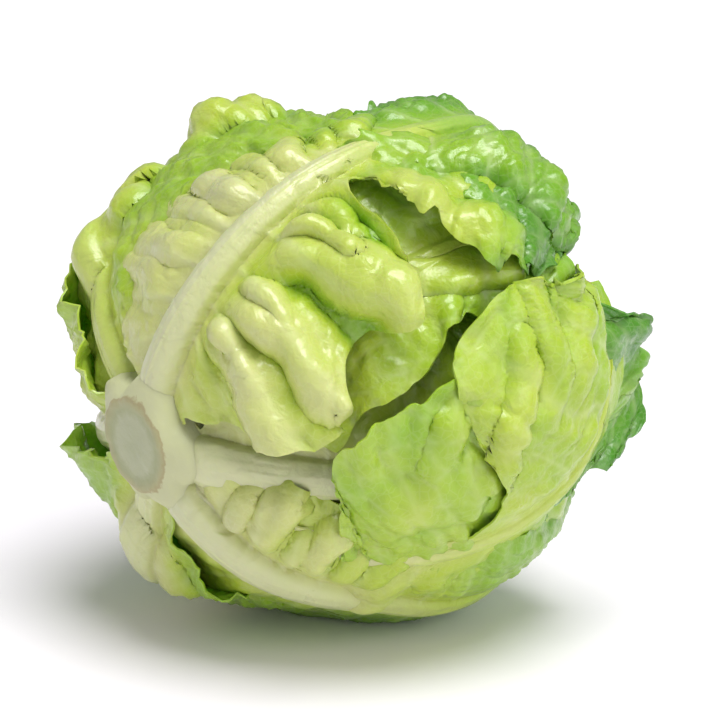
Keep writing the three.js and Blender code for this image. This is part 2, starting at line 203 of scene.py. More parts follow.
def pose(points: Array) -> Array:
    """Moves points from the head's own upright frame to its place lying on the table.

    Args:
        points: Places with a last axis of x, y, z, in millimetres.

    Returns:
        The same places on the table.
    """
    c, s = math.cos(TILT), math.sin(TILT)
    lean = np.array([[c, 0, s], [0, 1, 0], [-s, 0, c]])
    c, s = math.cos(TURN), math.sin(TURN)
    swing = np.array([[c, -s, 0], [s, c, 0], [0, 0, 1]])
    return points @ (swing @ lean).T + np.array([0, 0, CENTRE_HEIGHT])


@dataclass(frozen=True)
class Relief:
    """Relief and colour of a blade, in millimetres. Tones run from 0, white green, to 1, deep green."""

    tone_left: tuple = ((0, 0.2), (1, 0.7))     # share of the rib and tone, on the left half
    tone_right: tuple = ((0, 0.2), (1, 0.7))
    spacing: float = 13.0         # between side veins
    pleat: float = 1.8            # height of the blade between two side veins
    pucker: float = 0.9           # height of the blisters inside the net of veins
    cell: float = 7.0             # width of a blister
    frill: float = 1.8            # height of the margin's frills
    ragged: float = 1.6           # depth of the margin's tears
    smooth_to: tuple = (0.0, 0.1)     # shares of the rib between which the pleats and blisters set in
    crease: float = 0.7           # depth of the creases
    pale_rib: float = 1.0         # how far the blade pales towards its midrib
    fold_shade: float = 0.16       # painted light and shade: how much paler a fold's crown is drawn than its valley
    spots: tuple = ()             # brown spots, each along, across and size


@dataclass
class Places:
    """Where each corner of a leaf's grid lies on the flat leaf. Lengths are in millimetres."""

    u: Array              # share of the rib's length
    v: Array              # from -1 at the left margin to 1 at the right one
    along: Array          # distance from the stump, over the ball
    across: Array         # distance from the leaf's meridian
    lift: Array           # rise of the blade towards its margin
    width: Array          # across, from the midrib to the margin
    off_rib: Array        # across, from the midrib
    reach: Array          # distance from the midrib along the grid's row


@dataclass
class Net:
    """The net of veins at each corner of a leaf's grid."""

    order: Array          # side veins passed since the leaf's foot
    between: Array        # share of the way from one side vein to the next
    ridge: Array          # 1 on a side vein, 0 off it
    open_blade: Array     # 0 on the midrib and the stalk, 1 on the open blade
    crumple: Array        # share of their height that the blisters have
    walls: Array          # 0 on the net's veins, about 1 in the middle of a blister
    on_rib: Array         # share of the midrib's half width, from its middle
    arc: Array            # frills passed on the way round the margin


@dataclass
class Leaf:
    """One leaf: where it grows, how its margin, rise and folds run, and its relief. See FORMS."""

    name: str
    azimuth: float
    radius: float
    length: float
    left: tuple
    right: tuple
    rib: tuple
    rise: tuple
    ruffle: tuple
    seed: int
    relief: Relief
    node: str
    slot: Slot
    start: float = 14.0
    drift: float = 0.0
    folds: tuple = ()
    rows: int = 120
    columns: int = 110

    def margin(self, column: int, u: Array, v: Array) -> Array:
        """Column of the margin's table on v's own side."""
        return np.where(v < 0, curve_at(self.left, column, u), curve_at(self.right, column, u))

    def waver(self, draw: Draw, x: Array, y: Array) -> Array:
        """Smooth random height of the leaf's own, with bumps one unit apart."""
        return waver(x, y, self.seed + draw)

    def flat(self, u: Array, v: Array) -> Places:
        """Places on the flat leaf.

        Args:
            u: Share of the rib's length.
            v: From -1 at the left margin to 1 at the right one.

        Returns:
            Where each place lies on the flat leaf.
        """
        rib_along = self.start + self.length * u
        rib_across = self.drift * u**2
        step = self.margin(1, u, v) - rib_along
        width = np.sign(v + TINY) * self.margin(2, u, v) - rib_across
        side = np.hypot(step, width)
        tear_spacing, narrowest = 4.5, 12.0
        arc = (u * self.length + 0.5 * side) / tear_spacing
        tears = waver(arc, np.sign(v) * 3.0 + 7.0, self.seed)
        torn = self.relief.ragged * tears / np.maximum(side, narrowest)
        reach = np.abs(v) * (1 + torn * smooth(0.6, 1, np.abs(v)))
        across = rib_across + width * reach
        return Places(u=u, v=v, along=rib_along + step * reach**SWEEP, across=across,
                      lift=self.margin(3, u, v) * reach**2, width=np.abs(width),
                      off_rib=across - rib_across, reach=np.abs(v) * side)

    def fold_height(self, along: Array, across: Array) -> Array:
        """Height of the puffed folds, each a ridge with round ends and one steeper side.

        Args:
            along: Distance from the stump, mm.
            across: Distance from the leaf's meridian, mm.

        Returns:
            Heights in millimetres.
        """
        wide_side, steep_side = 1.35, 0.72
        most_bend, bend_share = 2.8, 0.35
        height = np.zeros_like(along)
        sway = self.waver(Draw.SWAY, along / 12, across / 12)
        swing = self.waver(Draw.SWING, along / 10 + 5, across / 10)
        swell = 1 + 0.2 * self.waver(Draw.SWELL, along / 10, across / 10)
        for along0, across0, along1, across1, half0, half1, tall, bow in self.folds:
            bend = min(most_bend, bend_share * half0)
            s, w = along + bend * sway, across + bend * swing
            run, side = along1 - along0, across1 - across0
            reach = math.hypot(run, side)
            share = ((s - along0) * run + (w - across0) * side) / reach**2
            near = np.clip(share, 0, 1)
            off = ((s - along0) * side - (w - across0) * run) / reach - bow * 4 * near * (1 - near)
            half = (half0 + (half1 - half0) * near) * np.where(off > 0, wide_side, steep_side)
            crown = np.clip(1 - (off**2 + ((share - near) * reach) ** 2) / half**2, 0, 1)
            crown = crown**0.75 * smooth(0, 0.25, crown)
            height = np.maximum(height, tall * crown * swell * smooth(-0.15, 0.45, share))
        return height

    def ruffle_height(self, at: Places) -> Array:
        """Wave of the blade, which grows towards the margin and dies away on a stalk.

        Args:
            at: The places on the flat leaf.

        Returns:
            Heights in millimetres.
        """
        size, waves = self.ruffle
        side = smooth(0.35, 1, np.abs(at.v))
        tip = 0.9 * smooth(0.75, 1, at.u) * (1 - side)
        turn = 2 * math.pi * (at.u * waves + at.v * waves * 0.35 * smooth(0.6, 1, at.u))
        phase = 1.7 * self.seed
        wave = np.sin(turn + phase) + 0.5 * np.sin(1.71 * turn + 2.1 * phase + 2 * at.v)
        return size * (side + tip) * wave * smooth(6, 30, at.width)

    def net(self, at: Places) -> Net:
        """The leaf's midrib, side veins and blisters.

        Args:
            at: The places on the flat leaf.

        Returns:
            The net at each place.
        """
        look = self.relief
        vein_half = 1.1
        wander = 0.22 * self.waver(Draw.WANDER, at.reach / 16, at.u * self.length / 20)
        order = at.u * self.length / look.spacing + np.where(at.v < 0, 0.5, 0.0) + wander
        between = order - np.floor(order)
        gap = np.minimum(between, 1 - between) * look.spacing
        ridge = np.exp(-((gap / vein_half) ** 2)) * smooth(2, 8, at.reach) * (1 - 0.7 * np.abs(at.v))
        return Net(order=order, between=between, ridge=ridge,
                   open_blade=smooth(5, 16, at.reach) * smooth(0.0, 0.12, at.u),
                   crumple=0.15 + 0.85 * smooth(*look.smooth_to, at.u),
                   walls=self.blisters(Draw.PUCKER, order, at, look.cell),
                   on_rib=at.off_rib / (self.rib[0] * (1 - RIB_TAPER * at.u)),
                   arc=(at.u * self.length + at.reach) / FRILL_SPACING)

    def blisters(self, draw: Draw, order: Array, at: Places, width: float) -> Array:
        """How far inside its blister each place is, for blisters of one width in millimetres."""
        return cell_walls(order * self.relief.spacing / width, at.reach / width, self.seed + draw)

    def relief_height(self, at: Places, net: Net) -> Array:
        """Height of the outer face over the blade's middle.

        Args:
            at: The places on the flat leaf.
            net: The net of veins there.

        Returns:
            Heights in millimetres.
        """
        look = self.relief
        foot = 1 - smooth(0, FOOT, at.u)
        across = np.sqrt(np.clip(1 - net.on_rib**2, 0, 1))
        rib = self.rib[1] * (1 - at.u) ** RIB_FADE * (1 - SUNK_RIB * foot) * across
        strands = 0.18 * self.waver(Draw.RIB_GRAIN, at.across / 0.9, at.along / 14) * (across > 0)
        arch = 1 - np.abs(2 * net.between - 1) ** 2.2
        pleat = look.pleat * arch * net.open_blade * (0.4 + 0.6 * smooth(*look.smooth_to, at.u))
        bubbles = self.blisters(Draw.BUBBLE, net.order, at, look.cell / FINER)
        blister = smooth(0, 0.5, net.walls) + 0.45 * smooth(0, 0.5, bubbles)
        pucker = look.pucker * blister * net.open_blade * net.crumple
        crease = np.abs(self.waver(Draw.CREASE, net.order * look.spacing / 7, at.reach / 15))
        wrinkle = np.abs(self.waver(Draw.WRINKLE, at.along / 4, at.across / 4))
        creases = look.crease * (2 * crease + 0.35 * wrinkle) * net.open_blade
        edge = np.maximum(smooth(0.72, 1, np.abs(at.v)), smooth(0.88, 1, at.u))
        frills = (self.waver(Draw.FRILL, net.arc, at.v * 3 + 9)
                  + 0.5 * self.waver(Draw.FINE_FRILL, net.arc * FINER, at.v * 4))
        frill = look.frill * edge * frills * smooth(6, 24, at.width)
        vein_height = 0.55
        return BLADE / 2 + rib + strands + pleat + pucker + creases + frill + vein_height * net.ridge

    def colours(self, at: Places, net: Net, folded: Array) -> dict[str, Array]:
        """The values that the leaf's finish reads.

        Args:
            at: The places on the flat leaf.
            net: The net of veins there.
            folded: Height of the folds, mm.

        Returns:
            tone from white green to deep green with painted shade in the folds' valleys, vein from blade to
            vein, and brown from fresh to spoiled.
        """
        look = self.relief
        side = np.where(at.v < 0, curve_at(look.tone_left, 1, at.u), curve_at(look.tone_right, 1, at.u))
        near = 1 - look.pale_rib * (0.7 - 0.55 * smooth(0.3, 0.75, at.u))
        tone = side * (near + (1 - near) * smooth(2, 20, at.reach))
        tone += 0.05 * self.waver(Draw.PATCH, at.along / 12, at.across / 12) * net.open_blade
        # Painted light and shade: a fold's crown is drawn paler and the valley beside it deeper green, for
        # the light on the crown and the shade in the valley
        tone += look.fold_shade * (0.5 - smooth(0, 7, folded)) * smooth(2, 12, at.reach)
        fine = 0.4 * (1 - smooth(0, 0.18, net.walls)) * net.open_blade * net.crumple
        pale = (1 - smooth(0.7, 1.1, np.abs(net.on_rib))) * look.pale_rib
        pale *= 0.9 - 0.6 * smooth(0.3, 0.7, at.u)
        vein = np.maximum(np.maximum(0.8 * net.ridge, fine), pale)
        brown = np.zeros_like(at.u)
        blotch = 0.25 * waver(net.arc * 5, at.reach, self.seed)
        for along, across, size in look.spots:
            gap = np.hypot(at.along - along, at.across - across) / size
            brown = np.maximum(brown, 1 - smooth(0.5, 1, gap + blotch))
        return {"tone": tone, "vein": vein, "brown": brown}

    def surface(self, u: Array, v: Array) -> tuple[Array, dict[str, Array]]:
        """Wraps the leaf round the ball.

        Args:
            u: Share of the rib's length.
            v: From -1 at the left margin to 1 at the right one.

        Returns:
            Points of the outer face in millimetres, and the values that the finish reads.
        """
        at = self.flat(u, v)
        folded = self.fold_height(at.along, at.across)
        sunk = SINK * (1 - smooth(0, FOOT, u))
        risen = curve_at(self.rise, 1, u) + at.lift + folded + self.ruffle_height(at)
        middle = place(self.azimuth, at.along, at.across, self.radius + risen - sunk)
        middle[..., 2] = np.maximum(middle[..., 2], BLADE / 2)
        normal = np.cross(np.gradient(middle, axis=1), np.gradient(middle, axis=0))
        normal /= np.maximum(np.linalg.norm(normal, axis=-1, keepdims=True), TINY)
        net = self.net(at)
        points = middle + normal * self.relief_height(at, net)[..., None]
        points[..., 2] = np.maximum(points[..., 2], 0)
        return points, self.colours(at, net, folded)

    def build(self) -> bpy.types.Object:
        """Adds a grid, wraps it into the leaf and gives it its thickness.

        Returns:
            The leaf's blade.
        """
        crowding = 1.2        # power that draws the grid's columns towards the midrib
        deselect()
        bpy.ops.mesh.primitive_grid_add(
            x_subdivisions=self.columns - 1, y_subdivisions=self.rows - 1, size=1)
        obj = bpy.context.object
        obj.name = self.name
        obj.data.name = self.name
        grid = np.empty(len(obj.data.vertices) * 3)
        obj.data.vertices.foreach_get("co", grid)
        grid = grid.reshape(self.rows, self.columns, 3)
        u, t = np.clip(grid[..., 1] + 0.5, 0, 1), np.clip(2 * grid[..., 0], -1, 1)
        points, colours = self.surface(u, np.sign(t) * np.abs(t) ** crowding)
        obj.data.vertices.foreach_set("co", (points * MM).ravel())
        for key, values in colours.items():
            obj.data.attributes.new(key, "FLOAT", "POINT").data.foreach_set("value", values.ravel())
        thicken(obj, BLADE * MM)
        return obj


def deselect() -> None:
    """Leaves nothing selected, so that the next operator acts on its own piece alone."""
    if bpy.context.object and bpy.context.object.mode != "OBJECT":
        bpy.ops.object.mode_set(mode="OBJECT")
    bpy.ops.object.select_all(action="DESELECT")


def thicken(obj: bpy.types.Object, thickness: float) -> None:
    """Gives a sheet a wall on its inner side and smooth shading.

    Args:
        obj: The sheet.
        thickness: The wall's thickness, in metres.
    """
    wall = obj.modifiers.new("Wall", "SOLIDIFY")
    wall.thickness = thickness
    wall.offset = -1
    bpy.ops.object.modifier_apply(modifier=wall.name)
    bpy.ops.object.shade_smooth_by_angle(angle=math.radians(70))


def linear(text: str) -> tuple[float, float, float, float]:
    """Linear colour of an sRGB hex value."""
    parts = [int(text[i:i + 2], 16) / 255 for i in (1, 3, 5)]
    return tuple(p / 12.92 if p <= 0.04045 else ((p + 0.055) / 1.055) ** 2.4 for p in parts) + (1.0,)


def scale_of(spacing: float) -> float:
    """Scale of a pattern on Object coordinates whose features lie spacing millimetres apart."""
    return 1 / (spacing * MM)


def add_node(material: bpy.types.Material, kind: str, settings: dict[str, Any] | None = None,
             inputs: dict[Any, Any] | None = None) -> bpy.types.Node:
    """Adds a node to a material.

    Args:
        material: The material to add to.
        kind: The node's type.
        settings: Its own properties.
        inputs: Its inputs, as feed takes them.

    Returns:
        The new node.
    """
    node = material.node_tree.nodes.new(kind)
    for key, value in (settings or {}).items():
        setattr(node, key, value)
    feed(material, node, inputs or {})
    return node


def feed(owner: bpy.types.ID, node: bpy.types.Node, inputs: dict[Any, Any]) -> None:
    """Sets the inputs of a node.

    Args:
        owner: The material or world that the node belongs to.
        node: The node.
        inputs: For each input, by name or number, a value or the output socket to link to it.
    """
    for key, value in inputs.items():
        if isinstance(value, bpy.types.NodeSocket):
            owner.node_tree.links.new(value, node.inputs[key])
        else:
            node.inputs[key].default_value = value


def fill_ramp(ramp: bpy.types.Node, colours: tuple) -> None:
    """Gives a colour ramp its stops.

    Args:
        ramp: The ramp's node.
        colours: Rows of place and sRGB hex colour.
    """
    stops = ramp.color_ramp.elements
    while len(stops) < len(colours):
        stops.new(0.5)
    for stop, (at, colour) in zip(stops, colours):
        stop.position = at
        stop.color = linear(colour)


def fresh_material(name: str) -> tuple[bpy.types.Material, bpy.types.Node]:
    """Starts a material.

    Args:
        name: The material's name.

    Returns:
        The material and its shader.
    """
    material = bpy.data.materials.new(name)
    material.use_nodes = True
    return material, material.node_tree.nodes["Principled BSDF"]


@dataclass(frozen=True)
class BladeFinish:
    """Fresh lettuce leaf: a thin moist blade with a wax film, so it is glossy and light glows in it."""

    name: str = "Fresh lettuce blade"
    # Painted shade, in part: the palest colour is drawn darker than fresh white green, for the shade on the
    # stalks and ribs at the head's lower left
    tones: tuple = (
        (0.0, "#BEC094"), (0.2, "#C8D07C"), (0.42, "#B2C93C"),
        (0.62, "#8CB71F"), (0.8, "#68A018"), (1.0, "#458413"),
    )
    vein: str = "#E4EDBE"
    brown: str = "#9A6A2C"
    roughness: float = 0.31
    patch: float = 15.4           # mm between soft patches of tone
    mesh: float = 2.63            # mm between the finest veins of the blade's net
    grit: float = 1.11            # mm between the grains of the skin, as coarse as the render can show
    crinkle: float = 6.25         # mm between crinkles

    def material(self) -> bpy.types.Material:
        """Builds the material.

        Returns:
            The new material.
        """
        material, shader = fresh_material(self.name)
        spot = add_node(material, "ShaderNodeTexCoord").outputs["Object"]
        patch = add_node(material, "ShaderNodeTexNoise", inputs={
            "Vector": spot, "Scale": scale_of(self.patch), "Detail": 4.0})
        net = add_node(material, "ShaderNodeTexVoronoi", {"feature": "DISTANCE_TO_EDGE"}, {
            "Vector": spot, "Scale": scale_of(self.mesh)})
        # The wax film is uneven, so the gloss varies with the patches
        film = add_node(material, "ShaderNodeMapRange", inputs={
            "Value": patch.outputs["Fac"], "From Min": 0.3, "From Max": 0.7,
            "To Min": self.roughness - 0.07, "To Max": self.roughness + 0.1})
        feed(material, shader, {
            "Base Color": self.colour(material, patch, net), "Normal": self.bump(material, spot, net),
            "Roughness": film.outputs[0], "IOR": 1.42, "Coat Weight": 0.42, "Coat Roughness": 0.2,
            "Subsurface Weight": 0.2, "Subsurface Radius": (0.55, 1.0, 0.2), "Subsurface Scale": 0.003})
        return material

    def colour(self, material: bpy.types.Material, patch: bpy.types.Node,
               net: bpy.types.Node) -> bpy.types.NodeSocket:
        """Lays the tone, the pale veins and the brown spots over each other.

        Args:
            material: The material to add to.
            patch: The soft patches of tone.
            net: The distance from the finest veins.

        Returns:
            The blade's colour.
        """
        tone = add_node(material, "ShaderNodeAttribute", {"attribute_name": "tone"}).outputs["Fac"]
        shift = add_node(material, "ShaderNodeMath", {"operation": "MULTIPLY_ADD"}, {
            0: patch.outputs["Fac"], 1: 0.16, 2: tone})
        level = add_node(material, "ShaderNodeMath", {"operation": "SUBTRACT"}, {
            0: shift.outputs[0], 1: 0.08})
        ramp = add_node(material, "ShaderNodeValToRGB", inputs={"Fac": level.outputs[0]})
        fill_ramp(ramp, self.tones)
        line = add_node(material, "ShaderNodeMapRange", inputs={
            "Value": net.outputs["Distance"], "From Min": 0.0, "From Max": 0.1,
            "To Min": 0.09, "To Max": 0.0})
        vein = add_node(material, "ShaderNodeAttribute", {"attribute_name": "vein"}).outputs["Fac"]
        strong = add_node(material, "ShaderNodeMath", {"operation": "MULTIPLY"}, {0: vein, 1: 0.38})
        both = add_node(material, "ShaderNodeMath", {"operation": "MAXIMUM"}, {
            0: line.outputs[0], 1: strong.outputs[0]})
        veined = add_node(material, "ShaderNodeMix", {"data_type": "RGBA"}, {
            0: both.outputs[0], 6: ramp.outputs["Color"], 7: linear(self.vein)})
        brown = add_node(material, "ShaderNodeAttribute", {"attribute_name": "brown"}).outputs["Fac"]
        spotted = add_node(material, "ShaderNodeMix", {"data_type": "RGBA"}, {
            0: brown, 6: veined.outputs[2], 7: linear(self.brown)})
        return spotted.outputs[2]

    def bump(self, material: bpy.types.Material, spot: bpy.types.NodeSocket,
             net: bpy.types.Node) -> bpy.types.NodeSocket:
        """Crinkles the blade, with a fine grain over the crinkles.

        Args:
            material: The material to add to.
            spot: The place on the piece.
            net: The distance from the finest veins.

        Returns:
            The bumped normal.
        """
        fine = add_node(material, "ShaderNodeTexNoise", inputs={
            "Vector": spot, "Scale": scale_of(self.grit), "Detail": 3.0})
        rise = add_node(material, "ShaderNodeMath", {"operation": "MULTIPLY_ADD"}, {
            0: net.outputs["Distance"], 1: 0.5, 2: fine.outputs["Fac"]})
        crinkle = add_node(material, "ShaderNodeTexNoise", inputs={
            "Vector": spot, "Scale": scale_of(self.crinkle), "Detail": 3.0, "Roughness": 0.45,
            "Distortion": 0.7})
        wrinkle = add_node(material, "ShaderNodeBump", inputs={
            "Strength": 0.5, "Distance": 0.002, "Height": crinkle.outputs["Fac"]})
        grain = add_node(material, "ShaderNodeBump", inputs={
            "Strength": 0.35, "Distance": 0.0004, "Height": rise.outputs[0], "Normal": wrinkle.outputs[0]})
        return grain.outputs[0]


@dataclass(frozen=True)
class StumpFinish:
    """Cut lettuce stem: moist pale flesh, browned by air at its rim, with a ring of paler strands."""

    name: str = "Cut lettuce stem"
    # Painted shade: the flesh colours are drawn darker than the fresh cut, for the shade that the stump
    # lies in at the head's lower left
    rings: tuple = (
        (0.0, "#AEB48E"), (0.55, "#B6BB97"), (0.72, "#A6AC80"),
        (0.9, "#B0AE80"), (0.96, "#ACA276"), (1.0, "#C6C99C"),
    )
    fibre: float = 2.0            # mm between the strands' ends

    def material(self) -> bpy.types.Material:
        """Builds the material.

        Returns:
            The new material.
        """
        material, shader = fresh_material(self.name)
        spot = add_node(material, "ShaderNodeTexCoord").outputs["Object"]
        ring = add_node(material, "ShaderNodeAttribute", {"attribute_name": "ring"}).outputs["Fac"]
        grain = add_node(material, "ShaderNodeTexNoise", inputs={
            "Vector": spot, "Scale": scale_of(self.fibre), "Detail": 6.0})
        shift = add_node(material, "ShaderNodeMath", {"operation": "MULTIPLY_ADD"}, {
            0: grain.outputs["Fac"], 1: 0.18, 2: ring})
        level = add_node(material, "ShaderNodeMath", {"operation": "SUBTRACT"}, {
            0: shift.outputs[0], 1: 0.09})
        ramp = add_node(material, "ShaderNodeValToRGB", inputs={"Fac": level.outputs[0]})
        fill_ramp(ramp, self.rings)
        bump = add_node(material, "ShaderNodeBump", inputs={
            "Strength": 0.5, "Distance": 0.0006, "Height": grain.outputs["Fac"]})
        feed(material, shader, {
            "Base Color": ramp.outputs["Color"], "Normal": bump.outputs[0], "Roughness": 0.5,
            "Subsurface Weight": 0.3, "Subsurface Radius": (1.0, 1.0, 0.5), "Subsurface Scale": 0.003})
        return material


@dataclass
class Stem:
    """The cut stump and the stem behind it, in millimetres from the head's middle."""

    name: str = "stem_stump"
    cut_depth: float = 80.0
    rim: float = 14.5             # radius of the cut face
    # Radius and height over the cut face, from its middle outwards and then down the stem
    profile: tuple = (
        (3, 0.3), (6, 0.2), (9, 0.0), (11.5, 0.1), (13, 0.3), (14, -0.2), (14.5, -1.5),
        (15.2, -4), (15.8, -8), (15.5, -13), (13.5, -20), (11, -27), (10, -30),
    )
    sides: int = 96
    # Where the stem swells into a midrib's foot: azimuth, reach and the depth of its full reach
    shoulders: tuple = ((-160, 7.5, 1.5), (-34, 7, 2), (-79, 6.5, 4), (130, 6, 3), (75, 5, 4), (25, 5, 4))
    shoulder_spread: float = 0.42     # radians round the stem
    shoulder_end: tuple = (16, 28)    # depths between which the swelling dies away

    def build(self) -> bpy.types.Object:
        """Extrudes a small disc outwards over the cut face and down the stem.

        Returns:
            The stem.
        """
        deselect()
        first = 1.0
        bpy.ops.mesh.primitive_circle_add(vertices=self.sides, radius=first, fill_type="TRIFAN")
        obj = bpy.context.object
        obj.name = self.name
        bpy.ops.object.mode_set(mode="EDIT")
        bpy.ops.mesh.select_mode(type="EDGE")
        bpy.ops.mesh.select_all(action="SELECT")
        bpy.ops.mesh.region_to_loop()
        radius, level = first, 0.0
        for wide, high in self.profile:
            bpy.ops.mesh.extrude_edges_move(TRANSFORM_OT_translate={"value": (0, 0, high - level)})
            bpy.ops.transform.resize(value=(wide / radius, wide / radius, 1), center_override=(0, 0, high))
            radius, level = wide, high
        bpy.ops.mesh.edge_face_add()
        bpy.ops.mesh.select_all(action="SELECT")
        bpy.ops.mesh.normals_make_consistent(inside=False)
        bpy.ops.object.mode_set(mode="OBJECT")
        self.shape(obj)
        bpy.ops.object.shade_smooth_by_angle(angle=math.radians(60))
        return obj

    def swell(self, points: Array) -> Array:
        """How far the stem's side swells out into the foot of each midrib.

        Args:
            points: Places on the stem, upright with the cut face at height 0, mm.

        Returns:
            Distances outwards, mm.
        """
        angle = np.arctan2(points[:, 1], -points[:, 0])
        depth = -points[:, 2]
        out = np.zeros(len(points))
        for azimuth, reach, level in self.shoulders:
            turn = np.angle(np.exp(1j * (angle - math.radians(azimuth))))
            ease = smooth(0.1, level + 0.6, depth) * (1 - smooth(*self.shoulder_end, depth))
            out = np.maximum(out, reach * np.exp(-((turn / self.shoulder_spread) ** 2)) * ease)
        return out

    def shape(self, obj: bpy.types.Object) -> None:
        """Roughens the cut, lays the stem in the head and stores how far each place is from the axis.

        Args:
            obj: The stem, upright with the cut face at height 0, mm.
        """
        face_edge = -1.0              # height above which a place is on the cut face
        face_rings, side_ring = 0.97, 1.15
        points = np.empty(len(obj.data.vertices) * 3)
        obj.data.vertices.foreach_get("co", points)
        points = points.reshape(-1, 3)
        radius = np.hypot(points[:, 0], points[:, 1])
        angle = np.arctan2(points[:, 1], points[:, 0])
        face = points[:, 2] > face_edge
        uneven = 1 + 0.025 * waver(angle * 3, radius * 0, 5) * smooth(6, 14, radius)
        points[:, :2] *= (uneven + self.swell(points) / np.maximum(radius, 1))[:, None]
        points[:, 2] += np.where(face, 0.35 * waver(points[:, 0] / 3, points[:, 1] / 3, 6), 0)
        ring = np.where(face, np.minimum(radius / self.rim, face_rings), side_ring)
        obj.data.attributes.new("ring", "FLOAT", "POINT").data.foreach_set("value", ring)
        points[:, 2] = -(self.cut_depth + points[:, 2])
        points[:, 0] *= -1
        obj.data.vertices.foreach_set("co", (pose(points) * MM).ravel())
        obj.data.update()


@dataclass
class Heart:
    """The tight heart: a smooth core with the leaves that close over the crown."""

    name: str = "heart_leaves"
    leaves: list[Leaf] = field(default_factory=list)

    def build(self) -> bpy.types.Object:
        """Builds the core and its leaves as one piece.

        Returns:
            The heart.
        """
        parts = [leaf.build() for leaf in self.leaves]
        deselect()
        bpy.ops.mesh.primitive_uv_sphere_add(segments=64, ring_count=40, radius=CORE_RADIUS * MM)
        core = bpy.context.object
        core.data.transform(Matrix.Translation((0, 0, CENTRE_HEIGHT * MM)))
        values = core.data.attributes.new("tone", "FLOAT", "POINT")
        values.data.foreach_set("value", np.full(len(core.data.vertices), CORE_TONE))
        bpy.ops.object.shade_smooth()
        for part in parts:
            part.select_set(True)
        bpy.ops.object.join()
        core.name = self.name
        return core


